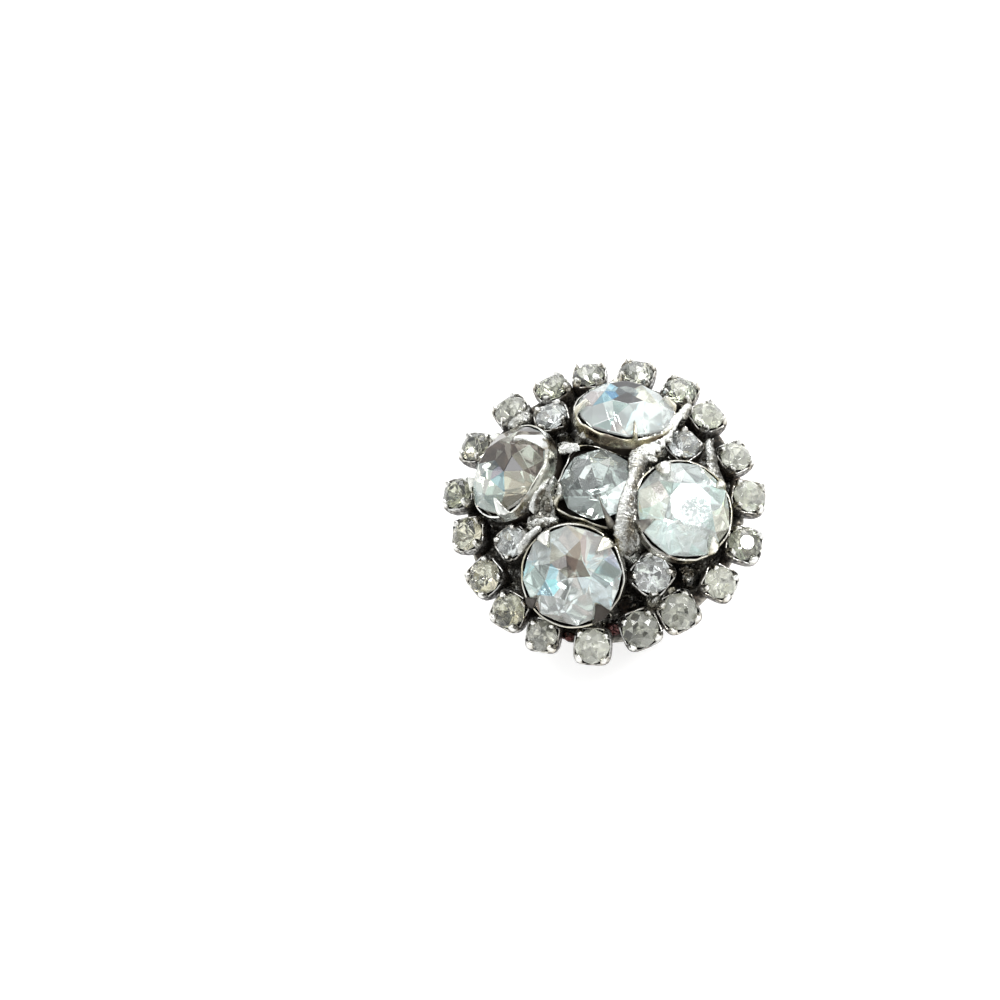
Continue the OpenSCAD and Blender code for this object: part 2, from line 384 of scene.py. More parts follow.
solderLook = dict(
    metalLook, bright=(0.24, 0.24, 0.225), warm=(0.165, 0.155, 0.12), deep=(0.08, 0.068, 0.05),
    grime=(0.042, 0.039, 0.032), edge=(0.86, 0.87, 0.84), roughLow=0.16, roughHigh=0.42, cloudSize=1.2,
    patchSize=0.9, stainEdge=0.08, speckle=0.9, dentSize=0.5, dent=1.0, dentDeep=0.3, glint=0.22,
)
rustLook = dict(
    solderLook, bright=(0.12, 0.05, 0.048), warm=(0.10, 0.036, 0.032), deep=(0.06, 0.024, 0.022),
    edge=(0.3, 0.2, 0.19), glint=0.1,
)
plateLook = dict(
    metalLook, bright=(0.22, 0.21, 0.18), warm=(0.16, 0.11, 0.08), deep=(0.08, 0.06, 0.045),
    grime=(0.03, 0.028, 0.024), edge=(0.55, 0.53, 0.48), roughLow=0.3, roughHigh=0.6,
)
clipLook = dict(
    metalLook, bright=(0.55, 0.54, 0.51), warm=(0.47, 0.43, 0.35), deep=(0.30, 0.25, 0.18),
    grime=(0.10, 0.08, 0.06), edge=(0.72, 0.71, 0.68), roughLow=0.22, roughHigh=0.42,
)


def makeMetal(name, look):
    # Plated metal with pale and dark stains; grime and painted shade lie where the mesh marks them, and
    # rubbed wear and painted highlights show bright
    material, tree, shader, spot = newMaterial(name)
    cloud = noiseOf(tree, spot, look["cloudSize"], 4)
    patch = noiseOf(tree, spot, look["patchSize"], 3, 0.5, (1, 1, 0.6))
    speck = noiseOf(tree, spot, look["speckSize"], 3)
    grime, rub = valueOf(tree, "grime"), valueOf(tree, "rub")
    warmth = rangeOf(tree, cloud, 0.51 - look["stainEdge"], 0.51 + look["stainEdge"])
    colour = mixOf(tree, warmth, look["bright"], look["warm"])
    stained = rangeOf(tree, patch, 0.5, 0.5 + look["stainEdge"])
    stain = timesOf(tree, stained, rangeOf(tree, rub, 0, 0.5, 0.9, 0.0))
    colour = mixOf(tree, stain, colour, look["deep"])
    # grime and painted shade show where their value plus fine noise passes a half
    broken = rangeOf(tree, speck, 0.35, 0.7, -0.25 * look["speckle"], 0.3 * look["speckle"])
    mottled = mathOf(tree, "ADD", grime, broken)
    grimeAndShadeMix = rangeOf(tree, mathOf(tree, "SUBTRACT", mottled, timesOf(tree, rub, 0.6)), 0.25, 0.8)
    colour = mixOf(tree, grimeAndShadeMix, colour, look["grime"])
    # painted glints: small bright spots from noise, kept off the grime and painted shade
    glints = rangeOf(tree, noiseOf(tree, spot, look["glintSize"], 4, 0.7), 0.56, 0.68, 0.0, look["glint"])
    glints = timesOf(tree, glints, rangeOf(tree, grime, 0.1, 0.6, 1.0, 0.0))
    # rubbed wear, painted highlights and painted glints take the bright edge colour
    shine = mathOf(tree, "ADD", timesOf(tree, rub, 0.7), glints)
    rough = rangeOf(tree, speck, 0.3, 0.75, look["roughLow"], look["roughHigh"])
    dents = bumpOf(tree, noiseOf(tree, spot, look["dentSize"], 2), look["dent"], look["dentDeep"])
    fine = noiseOf(tree, spot, look["fineSize"], 5, 0.65)
    fillSockets(tree, shader, {
        "Base Color": mixOf(tree, shine, colour, look["edge"]),
        "Metallic": rangeOf(tree, grimeAndShadeMix, 0, 1, 1.0, 0.5),
        "Roughness": mathOf(tree, "ADD", rough, timesOf(tree, grimeAndShadeMix, 0.25)),
        "Normal": bumpOf(tree, fine, look["fineDent"], look["fineDeep"], dents),
    })
    return material


agedMetal = makeMetal("agedMetal", metalLook)
cupMetal = makeMetal("cupMetal", cupLook)
paleLitCupMetal = makeMetal("paleLitCupMetal", paleLitCupLook)
solderMetal = makeMetal("solderMetal", solderLook)
rustedMetal = makeMetal("rustedMetal", rustLook)
plateMetal = makeMetal("plateMetal", plateLook)
clipMetal = makeMetal("clipMetal", clipLook)


# Cups

squareCup = dict(
    margin=0.13,  # outside of the wall beyond the stone's widest
    squareness=4.0,  # power of the rounded square; 2 is a circle
    wall=0.11,
    depth=1.75,  # below the girdle
    footShare=0.92,  # width of the foot as a share of the rim's
    footRound=0.16,
    innerDepth=1.3,
    pathStart=-0.9,  # height where the inside wall starts
    rim=-0.1,  # height of the wall between claws
    rimWave=0.05,
    bulge=0.02,
    bendStart=-0.36,
    bendLength=0.35,
    clawLean=53.5,  # how far a claw bends in from upright, degrees
    bead=0.8,  # extra thickness at the claw's end
    clawThick=0.26,
    lengthSpread=0.16,
    columns=104,
    # painted shade, with grime, on the outer wall and foot
    wallGrimeAndShade=0.84,
    # direction and half width in degrees, length past the bend, sideways lean at the tip,
    # power of the outline, and how much painted shade darkens it
    claws=[(direction, 15, 1.0, 0, 3.0, 0.0) for direction in (45, 135, 225, 315)],
    uneven=4,  # degrees that a claw may stray
)
roundCup = dict(
    margin=0.17, squareness=2.0, wall=0.14, depth=3.9, footShare=0.5, footRound=2.6, innerDepth=3.7,
    pathStart=-1.2, rim=-0.2, rimWave=0.09, bulge=0.04, bendStart=-0.16, bendLength=0.5, clawLean=53.5,
    bead=0.3, clawThick=0.42, lengthSpread=0.06, columns=300, wallGrimeAndShade=0.42, uneven=0,
)
centreCup = dict(
    margin=0.2, squareness=4.5, wall=0.16, depth=3.3, footShare=0.92, footRound=0.5, innerDepth=2.9,
    pathStart=-1.6, rim=-0.3, rimWave=0.14, bulge=0.05, bendStart=-0.5, bendLength=0.6, clawLean=53.5,
    bead=0.3, clawThick=0.38, lengthSpread=0.06, columns=240, wallGrimeAndShade=0.6,
    claws=[(45, 6, 1.8, 0, 1.4, 0.2), (222, 9, 1.7, 0, 1.5, 0.3), (309, 6, 3.4, -8, 1.1, 0.8)],
    uneven=0,
)
# each claw as in squareCup; the last value is how much painted shade darkens it
largeClaws = dict(
    right=[
        (52, 8, 1.7, 0, 1.8, 0.1), (131, 10, 1.9, 8, 2.2, 0.0), (220, 8, 1.9, 0, 1.4, 0.85),
        (324, 10, 2.0, 0, 1.8, 0.1),
    ],
    top=[
        (30, 7, 1.7, 0, 1.5, 0.2), (119, 7, 1.7, 0, 1.5, 0.1), (208, 3.2, 1.9, 0, 1.2, 0.6),
        (301, 7, 1.8, 0, 1.5, 0.2),
    ],
    left=[
        (20, 7, 1.6, 0, 1.5, 0.3), (105, 9, 1.9, 0, 1.5, 0.4), (214, 12, 3.0, 17, 1.5, 0.1),
        (312, 7, 1.7, 0, 1.5, 0.3),
    ],
    bottom=[
        (42, 12, 2.1, 9, 1.6, 1.4), (140, 8, 1.9, 0, 1.7, 0.0), (222, 10, 2.0, 0, 1.6, 0.0),
        (310, 8, 1.9, 0, 1.5, 1.4),
    ],
)

# Where a large cup's rim stands higher and wider: direction and half width in degrees, rise, spread;
# a half width of 460 takes in the whole rim
rimLifts = dict(
    right=[(0, 460, 0.12, 0.0), (188, 40, 0.05, 0.12)],
    top=[(180, 55, 0.05, 0.1)],
    left=[(172, 62, 0.5, 0.02)],
    bottom=[(0, 460, 0.12, 0.0), (350, 75, 0.06, 0.06)],
)


def turnFrom(angle, direction):  # how far round an angle is from a direction, -pi to pi
    return (angle - direction + np.pi) % (2 * np.pi) - np.pi


def clawEdge(cup, claws, lifts, angle, upright, wavy, pick):
    # How far up the wall the metal goes at each angle: a wavy rim, lifted in places, drawn out into claws
    rim = cup["rim"] - cup["pathStart"] + cup["rimWave"] * wavy(0.3, 2)
    spread = cup["bulge"] * wavy(0.22, 1)
    for direction, half, rise, wider in lifts:
        away = np.abs(turnFrom(angle, np.radians(direction)))
        near = 1 - smooth(away, 0.4 * np.radians(half), np.radians(half))
        rim = rim + rise * near
        spread = spread + wider * near
    edge = {"rim": rim, "top": rim, "spread": spread, "clawLength": 1 + 0 * angle}
    edge |= {key: 0 * angle for key in ("sideways", "crest", "paintedShade")}
    for direction, half, length, sweep, point, paintedClawShade in claws:
        middle = np.radians(direction + pick.uniform(-1, 1) * cup["uneven"])
        away = np.abs(turnFrom(angle, middle)) / np.radians(half * pick.uniform(0.92, 1.1))
        length = length * (1 + cup["lengthSpread"] * pick.uniform(-1, 1))
        shape = 1 - np.clip(away, 0, 1) ** point
        if point > 2:
            shape = shape ** (1 / point)
        edge["top"] = smoothMax(edge["top"], rim + (upright + length - rim) * shape, 0.03)
        near = 1 - smooth(away, 1.0, 2.0)
        edge["sideways"] += np.radians(sweep) * near
        # painted shade on this claw
        edge["paintedShade"] += paintedClawShade * near
        edge["clawLength"] += (length - 1.0) * near
        edge["crest"] = np.maximum(edge["crest"], np.clip(1 - away ** 2, 0, 1))  # highest along its middle
    return edge


def cupFoot(cup, outside, inside):
    # Below the wall, as radius and height: inside a cone down to the middle, outside a tapering side,
    # a rounded corner and a flat foot
    depth, corner, start = cup["depth"], cup["footRound"], cup["pathStart"]
    innerShare = np.array([0.02, 0.5, 0.9])
    innerRadius = np.outer(innerShare, inside)
    innerHeight = np.interp(innerShare, [0, 1], [-cup["innerDepth"], start - 0.1])[:, None]
    bend = np.linspace(0, np.pi / 2, 9)[1:, None]
    footRadius = outside * cup["footShare"]
    level = np.linspace(start, -depth + corner, 4)[1:, None]
    down = (level - start) / (corner - depth - start)
    if cup["squareness"] > 2:
        sideRadius = outside + (footRadius - outside) * down
        cornerRadius = footRadius - corner + corner * np.cos(bend)
    else:
        sideRadius = outside + (footRadius - outside) * 0.15 * down
        cornerRadius = footRadius + (sideRadius[-1] - footRadius) * np.cos(bend) ** 0.9
    cornerHeight = -depth + corner - corner * np.sin(bend)
    footInner = np.outer([0.6, 0.05], cornerRadius[-1])
    flat = np.full((2, 1), -depth)
    return (innerRadius, innerHeight), [(sideRadius, level), (cornerRadius, cornerHeight), (footInner, flat)]


def wallPath(cup):
    # The wall from below as a path, upright to the bend and then leaning in by clawLean: distance along it,
    # lean, shift of the radius and height
    path, step = np.linspace(0, 7, 701, retstep=True)
    start = cup["pathStart"]
    upright = cup["bendStart"] - start
    lean = np.radians(cup["clawLean"]) * smooth(path, upright, upright + cup["bendLength"])
    shift = np.concatenate([[0], np.cumsum(-np.sin(lean[:-1]))]) * step
    height = start + np.concatenate([[0], np.cumsum(np.cos(lean[:-1]))]) * step
    return path, lean, shift, height


def makeCup(cup, claws, seat, spin, seed, lifts=()):
    # A stamped cup: an outline swept up the wall, drawn out in places into claws that bend in over the stone.
    # A point on the wall is (radius at that angle + shift(s), height(s)); s runs up the wall and the claw.
    pick = np.random.default_rng(seed)
    angle = fullTurn(cup["columns"])
    power = cup["squareness"]
    outline = (np.abs(np.cos(angle)) ** power + np.abs(np.sin(angle)) ** power) ** (-1 / power)
    outside = (seat["width"] / 2 + cup["margin"]) * outline

    def wavy(scale, draw):
        return wander(np.cos(angle), np.sin(angle), 0, scale, seed + draw)

    path, lean, shift, height = wallPath(cup)
    upright = cup["bendStart"] - cup["pathStart"]
    edge = clawEdge(cup, claws, lifts, angle, upright, wavy, pick)
    rim, top, crest, paintedShade, clawLength = [edge[key] for key in ("rim", "top", "crest", "paintedShade", "clawLength")]

    # rows: inside wall upwards, then outside wall downwards, closer together towards the rim
    share = 1 - (1 - np.linspace(0, 1, 17)) ** 1.7
    s = top * share[:, None]
    tipLength = 0.8 * cup["wall"]
    rounding = np.sqrt(1 - np.clip((s - top + tipLength) / tipLength, 0, 1) ** 2)
    bead = 1 + cup["bead"] * smooth(s, upright + 0.4 * clawLength, upright + 0.8 * clawLength)
    onClaw = smooth(s, rim - 0.1, rim + 0.35)
    clawThick = cup["clawThick"] * (0.25 + 0.75 * crest) * bead
    thick = (cup["wall"] + (clawThick - cup["wall"]) * onClaw) * rounding
    tilt = np.interp(s, path, lean)
    inside = outside - cup["wall"] + edge["spread"] * smooth(s, 0.2 * upright, upright)
    radiusIn = inside + np.interp(s, path, shift)
    heightIn = np.interp(s, path, height)
    radiusOut = radiusIn + thick * np.cos(tilt)
    heightOut = heightIn + thick * np.sin(tilt)
    turned = edge["sideways"] * smooth(s, upright, upright + clawLength)
    cone, foot = cupFoot(cup, outside, inside[0])
    sections = [cone, (radiusIn, heightIn), (radiusOut[-2::-1], heightOut[-2::-1]), *foot]
    radius = np.concatenate([r for r, z in sections])
    z = np.concatenate([z + 0 * r for r, z in sections])
    around = angle + 0 * radius
    first, count = len(cone[0]), len(share)
    around[first:first + 2 * count - 1] += np.concatenate([turned, turned[-2::-1]])
    rows = np.stack([radius * np.cos(around), radius * np.sin(around), z], -1)

    # painted shade with grime is darkest inside, on the lower wall and foot, and on the claws given painted
    # shade; the rim is brightened by rubbed wear and a painted highlight, and a highlight is painted along
    # each claw's crest
    wallGrimeAndShade = cup["wallGrimeAndShade"]
    up = np.clip((heightOut + 1.3) / 1.3, 0, 1)
    outerGrimeAndShade = wallGrimeAndShade * (1 - 0.3 * up) - (0.45 * (0.3 + 0.7 * crest) - 0.85 * paintedShade) * onClaw
    innerGrimeAndShade = 0.8 - 0.7 * smooth(s - top, -0.8, -0.1)
    levels = [1.0, innerGrimeAndShade, outerGrimeAndShade[-2::-1], wallGrimeAndShade, 0.9, 0.95]  # of the sections, in order
    grime = np.concatenate([level + 0 * section[0] for level, section in zip(levels, sections)])
    # how strongly the rim's rubbed wear and painted highlight show, varying along it
    worn = np.clip(0.5 + 0.6 * wavy(0.3, 3), 0.05, 1)
    outerWearAndHighlight = smooth(s - top, -0.12, -0.02) * worn * (0.9 - 0.4 * onClaw) + 0.75 * onClaw * crest
    outerWearAndHighlight = outerWearAndHighlight * (1 - paintedShade * onClaw)
    rub = np.zeros_like(radius)
    rub[first:first + count] = smooth(s - top, -0.1, 0) * worn
    rub[first + count:first + 2 * count - 1] = outerWearAndHighlight[-2::-1]
    points, *rest = closedGrid(rows, grime, rub)
    return atSeat(points, seat, spin), *rest


ringSeats = [seatOf(f"ring_stone_{k}") for k in range(1, 20)]
accentSeats = [seatOf(f"accent_stone_{k}") for k in range(1, 5)]
largeNames = ["right", "top", "left", "bottom"]
largeSeats = {name: seatOf("large_stone_" + name) for name in largeNames}
centreSeat = seatOf("centre_stone")
centreSpin = -5
ringHeight = np.mean([seat["middle"][2] for seat in ringSeats])


def smallCups(seats, seed):
    claws = squareCup["claws"]
    return [makeCup(squareCup, claws, seat, seat["spin"], seed + 5 * k) for k, seat in enumerate(seats)]


def addMetal(name, parts, material, smoothAngle=40):
    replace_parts(makePiece(name, parts, material, smoothAngle), "setting_frame")


addMetal("ring_cups", smallCups(ringSeats, 100), agedMetal)
addMetal("accent_cups", smallCups(accentSeats, 200), agedMetal)
for k, name in enumerate(largeNames):
    cup = makeCup(roundCup, largeClaws[name], largeSeats[name], 0, 300 + 5 * k, rimLifts[name])
    addMetal("large_cup_" + name, [cup], paleLitCupMetal if name == "left" else cupMetal)
addMetal("centre_cup", [makeCup(centreCup, centreCup["claws"], centreSeat, centreSpin, 400)], cupMetal)
print("cups made")


# Backing plate and rim wire

backPlate = dict(
    radius=12.2,
    top=7.9,
    thick=0.5,
    wire=1.2,  # the wire's thickness
    wireInset=0.1,
    wireHeight=0.1,  # of its middle above the plate
    wave=0.035,  # how uneven the plate is
    columns=192,
)


def makePlate(plate):
    # A turned profile: flat top, round wire at the rim, flat back
    half = plate["wire"] / 2
    wireRadius = plate["radius"] - plate["wireInset"]
    top, under = plate["top"], plate["top"] - plate["thick"]
    middle = top + plate["wireHeight"]
    bend = np.linspace(np.radians(170), np.radians(-125), 22)
    profile = [[0.05, top], [6, top], [10, top], [wireRadius - half - 0.08, top]]
    profile += [[wireRadius + half * np.cos(a), middle + half * np.sin(a)] for a in bend]
    profile += [[wireRadius - 0.75, under], [9, under], [5, under], [0.05, under]]
    profile = np.array(profile)
    angle = fullTurn(plate["columns"])
    radius = profile[:, :1] + 0 * angle
    z = profile[:, 1:] + 0 * angle
    x, y = radius * np.cos(angle), radius * np.sin(angle)
    z = z + plate["wave"] * wander(x, y, 0, 3.0, 5) * smooth(radius, 2, 6) * (1 - smooth(radius, 10.5, 11.4))
    # the plate's top face, under the cups and solder, gets painted shade, with grime from the wander
    grime = np.where(profile[:, 1] > top - 0.2, 0.75, 0.25)[:, None] + 0.2 * wander(x, y, z, 2.0, 6)
    rub = 0.35 * smooth(radius, wireRadius + 0.2, wireRadius + half)
    return closedGrid(np.stack([x, y, z], -1)[::-1], grime[::-1], rub[::-1])


addMetal("backing_plate", [makePlate(backPlate)], plateMetal)


# Solder

solderBed = dict(
    posts=1.5,  # radius of the post under each large cup
    postInset=2.0,
    accentPost=1.2,
    centrePost=2.7,
    armHeights=[3.2, 1.4, 3.0, 2.9],  # of the arms beside the accent settings, above the ring
    # x, y, radius, height above the ring of humps, and x, y, radius of the wells left between them
    fills=[
        (8.3, 5.7, 0.9, 0.7), (9.6, 4.3, 0.5, 0.2), (9.1, -4.6, 0.9, 0.0), (8.6, -6.9, 0.6, 0.2),
        (7.0, -8.0, 0.8, 0.3), (5.4, -8.6, 0.5, 0.3),
        (-3.95, -1.3, 0.9, 4.4), (-4.1, -2.5, 1.1, 4.15), (-3.9, -3.6, 1.1, 4.0), (-3.0, -4.1, 0.7, 4.0),
        (-4.7, -4.5, 0.9, 3.5), (-5.3, -5.6, 0.7, 2.6),
        (3.7, 4.9, 1.0, 3.4), (4.1, -3.9, 1.0, 3.7), (4.2, -4.9, 0.8, 2.9), (-4.3, 3.4, 0.8, 3.0),
        (-2.9, 4.3, 0.8, 3.4),
    ],
    wells=[(8.0, -5.3, 0.75), (4.4, -8.3, 0.7)],
    armHalf=1.2,
    armInner=3.4,  # where an arm starts to fall, and where it has fallen, from the middle
    armOuter=8.2,
    climb=0.45,  # how far from a cup's wall the solder starts to climb it
    clearance=0.12,  # how far it may reach into a wall
    clearPasses=24,
    edge=11.9,
    rows=150,
    columns=320,
)


def cupSpace(x, y, z, seat, spin, cup):
    # How far a point is outside a cup's outer wall, seen in the cup's own frame; negative inside
    local = (np.stack([x, y, z], -1) - seat["middle"]) @ seat["axes"]
    c, s = np.cos(np.radians(spin)), np.sin(np.radians(spin))
    u, v = local[..., 0] * c + local[..., 1] * s, local[..., 1] * c - local[..., 0] * s
    power = cup["squareness"]
    away = (np.abs(u) ** power + np.abs(v) ** power + 1e-9) ** (1 / power)
    down = np.clip(-local[..., 2] / cup["depth"], 0, 1)
    half = seat["width"] / 2 + cup["margin"]
    wall = half * (1 - (1 - cup["footShare"]) * down ** (1 if power > 2 else 3))
    low = -cup["depth"] - local[..., 2]
    return np.maximum(away - wall, low)


def makeSolder(bed, plate):
    # Heights over a round grid: posts and arms joined by rounded maxima, drawn up where they meet a cup
    angle, low = fullTurn(bed["columns"]), plate["top"]
    radius = np.linspace(0.05, bed["edge"], bed["rows"])[:, None]
    x, y = radius * np.cos(angle), radius * np.sin(angle)
    z = low + 0.12 + 0.08 * wander(x, y, 0, 1.6, 11)
    cups = [(seat, seat["spin"], squareCup) for seat in accentSeats + ringSeats]
    cups += [(largeSeats[name], 0, roundCup) for name in largeNames]
    cups.append((centreSeat, centreSpin, centreCup))

    def post(z, spot, size, top):
        away = np.hypot(x - spot[0], y - spot[1])
        column = low + (top - low) * (1 - smooth(away, size - 0.25, size + 0.45))
        return smoothMax(z, column, 0.35)

    for seat in largeSeats.values():
        middle = seat["middle"][:2]
        out = np.hypot(*middle)
        z = post(z, middle * (out - bed["postInset"]) / out, bed["posts"], ringHeight + 0.2)
    z = post(z, (0, 0), bed["centrePost"], centreSeat["middle"][2] - centreCup["depth"] + 0.3)
    for x0, y0, size, height in bed["fills"]:
        z = post(z, (x0, y0), size, ringHeight + height)
    for seat, height in zip(accentSeats, bed["armHeights"]):
        middle = seat["middle"][:2]
        z = post(z, middle * 0.96, bed["accentPost"], seat["middle"][2] - 1.5)
        way = middle / np.hypot(*middle)
        along = x * way[0] + y * way[1]
        across = (y * way[0] - x * way[1]) + 0.16 * wander(x, y, 0, 1.3, 17)
        inner, outer = bed["armInner"], bed["armOuter"]
        crest = np.interp(along, [0, inner, outer, outer + 2], [height, height, 0.3, -1.2])
        half = bed["armHalf"] * (1 + 0.12 * wander(x, y, 0, 1.1, 19))
        arm = ringHeight + crest - 1.4 * (across / half) ** 2
        arm = np.where(along > 0, arm, low)
        z = smoothMax(z, arm, 0.5)
    high = smooth(z, low + 2, low + 4)
    z = z + 0.05 * wander(x, y, 0, 0.7, 23) + 0.07 * wander(x, y, 0, 0.24, 29) * high
    for x0, y0, size in bed["wells"]:
        inWell = 1 - smooth(np.hypot(x - x0, y - y0), size - 0.15, size + 0.2)
        z = z + (low - 0.1 - z) * inWell

    # solder climbs a cup's wall where it stands well above the plate
    wet = smooth(z, low + 0.6, low + 2.2)
    for seat, spin, cup in cups:
        gap = cupSpace(x, y, z, seat, spin, cup)
        near = np.exp(-(np.clip(gap, 0, 9) / bed["climb"]) ** 2) * smooth(gap, -0.6, 0.0)
        z = z + (0.15 + 0.75 * wet) * near
    for turn in range(bed["clearPasses"]):  # and stays out of the cups
        for seat, spin, cup in cups:
            gap = cupSpace(x, y, z, seat, spin, cup)
            z = z - np.clip(-gap - bed["clearance"], 0, 0.3)
    z = np.maximum(z, low - 0.2)
    height = z - low
    # low solder, between the cups, gets painted shade, with grime from the wander; high solder shows brighter
    grime = 0.6 - 0.6 * smooth(height, 0.3, 2.6) + 0.25 * wander(x, y, z, 0.5, 37)
    rub = 0.25 * smooth(height, 2.5, 5)
    closing = np.stack([x[[-1, 0]], y[[-1, 0]], np.full((2, bed["columns"]), low - 0.25)], -1)
    rows = np.concatenate([np.stack([x, y, z], -1), closing])[::-1]
    # the closing underneath is dark with painted shade
    pad = np.full((2, bed["columns"]), 0.8)
    return closedGrid(rows, np.concatenate([grime, pad])[::-1], np.concatenate([rub, 0 * pad])[::-1])


plainSeam = dict(
    lump=0.2,  # how much it swells and shrinks, as a share
    lumpSize=0.35,
    grime=0.0,
    # how bright the highlight painted on its lit side is
    shine=0.8,
    fade=1,  # share of its shine left at the far end
    blunt=1,  # how suddenly its ends close
    darkSide=-0.3,  # how far its side without the painted highlight reaches, from -1 at the edge towards +X to 1 at the other
    sides=56,
    smoothing=30,
)
# Bars of solder along paths of x, y, height above the ring, half width and half thickness
solderSeams = dict(
    rightRidge=dict(
        path=[
            (3.5, 5.3, 3.6, 0.5, 0.35), (3.0, 4.4, 4.0, 0.9, 0.4), (2.8, 3.4, 4.5, 1.0, 0.4),
            (3.0, 2.0, 5.0, 0.62, 0.32), (3.1, 0.6, 5.25, 0.56, 0.28), (3.15, -0.7, 5.3, 0.7, 0.28),
            (3.3, -1.85, 5.1, 0.9, 0.3), (3.55, -2.85, 4.75, 1.08, 0.35), (3.8, -3.85, 4.25, 1.1, 0.4),
            (3.95, -4.7, 3.7, 0.85, 0.42), (3.95, -5.4, 2.9, 0.45, 0.35),
        ],
        lump=0.09, lumpSize=0.5, grime=0.1, shine=1.3, fade=0.35, darkSide=-0.25,
    ),
    rightSpread=dict(
        path=[
            (2.75, 3.7, 4.6, 0.6, 0.3), (3.29, 4.64, 4.4, 1.0, 0.34), (3.83, 5.66, 4.0, 1.0, 0.36),
            (4.21, 6.78, 3.4, 0.75, 0.36), (4.48, 7.98, 2.8, 0.5, 0.34), (4.8, 9.34, 2.2, 0.35, 0.3),
        ],
        lump=0.16, lumpSize=0.3, shine=1.8, darkSide=-0.9,
    ),
    rightBranch=dict(
        path=[(2.6, 3.3, 4.4, 0.45, 0.3), (3.6, 3.62, 4.2, 0.42, 0.3), (4.5, 3.65, 4.3, 0.3, 0.25)],
        lump=0.15, lumpSize=0.4,
    ),
    leftRibbon=dict(
        path=[
            (-4.16, -0.64, 5.3, 0.25, 0.2), (-4.35, -1.52, 5.4, 0.38, 0.24), (-4.7, -2.16, 5.3, 0.45, 0.28),
            (-4.95, -2.81, 5.0, 0.5, 0.3), (-4.95, -3.4, 4.5, 0.5, 0.3), (-4.7, -3.9, 4.1, 0.35, 0.24),
        ],
        shine=1.0, darkSide=0.1,
    ),
    leftCrust=dict(
        path=[
            (-5.0, -2.4, 4.9, 0.4, 0.3), (-5.42, -2.92, 4.75, 0.62, 0.34), (-5.96, -3.48, 4.3, 0.66, 0.34),
            (-6.58, -3.77, 3.9, 0.4, 0.3),
        ],
        lump=0.3, lumpSize=0.25, grime=0.3, shine=0.6, darkSide=0.3,
    ),
    leftBrown=dict(
        path=[(-3.5, -2.3, 4.4, 0.4, 0.3), (-3.7, -2.9, 4.45, 0.6, 0.34), (-3.85, -3.5, 4.2, 0.4, 0.3)],
        lump=0.25, lumpSize=0.3, grime=0.3, shine=0.3, darkSide=0.5,
    ),
    leftKnob=dict(
        path=[
            (-3.6, -0.6, 4.5, 0.3, 0.25), (-3.15, -1.0, 4.55, 0.5, 0.3), (-2.95, -1.6, 4.4, 0.45, 0.3),
            (-3.3, -2.3, 4.3, 0.3, 0.25),
        ],
        lump=0.3, lumpSize=0.25, grime=0.15, shine=0.9,
    ),
    leftFoot=dict(
        path=[
            (-2.5, -3.9, 4.0, 0.3, 0.2), (-3.3, -4.25, 4.2, 0.46, 0.24), (-4.1, -4.5, 4.1, 0.42, 0.24),
            (-4.9, -4.7, 3.6, 0.3, 0.2),
        ],
        lump=0.22, lumpSize=0.3, shine=0.9,
    ),
    bottomFlange=dict(
        path=[
            (-3.7, -5.2, 4.9, 0.3, 0.22), (-4.05, -5.6, 4.85, 0.36, 0.24), (-4.62, -6.3, 4.5, 0.42, 0.24),
            (-4.95, -7.0, 4.15, 0.4, 0.24), (-5.1, -7.75, 3.8, 0.25, 0.2),
        ],
        lump=0.1, lumpSize=0.5,
    ),
    # a tab lit all over by a painted highlight
    highlightTab=dict(
        path=[(-4.3, 2.2, 4.9, 0.4, 0.16), (-3.5, 2.55, 5.1, 0.5, 0.16), (-2.5, 2.95, 5.15, 0.3, 0.14)],
        shine=1.4, blunt=2, darkSide=-1.0,
    ),
    outerPost=dict(
        path=[
            (7.9, 7.9, 1.5, 0.3, 0.3), (8.4, 6.5, 1.5, 0.45, 0.32), (8.95, 5.2, 1.2, 0.52, 0.34),
            (9.6, 4.3, 0.8, 0.6, 0.36), (10.4, 3.8, 0.3, 0.45, 0.34),
        ],
        lump=0.16, lumpSize=0.4, grime=0.3, shine=0.5,
    ),
    topJoint=dict(
        path=[(5.2, 11.0, 0.8, 0.34, 0.3), (4.9, 9.9, 1.4, 0.45, 0.36), (5.0, 9.0, 1.8, 0.5, 0.4)],
        lump=0.12, lumpSize=0.45,
    ),
    topLump=dict(
        path=[(-2.9, 4.1, 4.6, 0.4, 0.35), (-2.1, 4.4, 4.4, 0.65, 0.4), (-1.2, 4.35, 4.1, 0.4, 0.35)],
        grime=0.4, shine=0.5,
    ),
    leftJoint=dict(
        path=[(-10.6, 5.0, 0.1, 0.5, 0.4), (-9.7, 5.7, 0.6, 0.75, 0.6), (-8.6, 6.6, 0.6, 0.6, 0.5)],
        lumpSize=0.4, grime=0.25, shine=0.5,
    ),
)
rustedSeams = dict(
    redJoint=dict(
        path=[(3.2, -11.5, -1.3, 0.35, 0.3), (3.9, -11.05, -1.0, 0.6, 0.45), (4.7, -10.9, -1.3, 0.4, 0.3)],
        shine=0.3, darkSide=0.0,
    ),
    brownJoint=dict(
        path=[(-0.5, -12.5, -1.5, 0.3, 0.3), (0.3, -12.6, -1.3, 0.5, 0.4), (1.1, -12.5, -1.5, 0.3, 0.3)],
        grime=0.3, shine=0.3, darkSide=0.0,
    ),
)


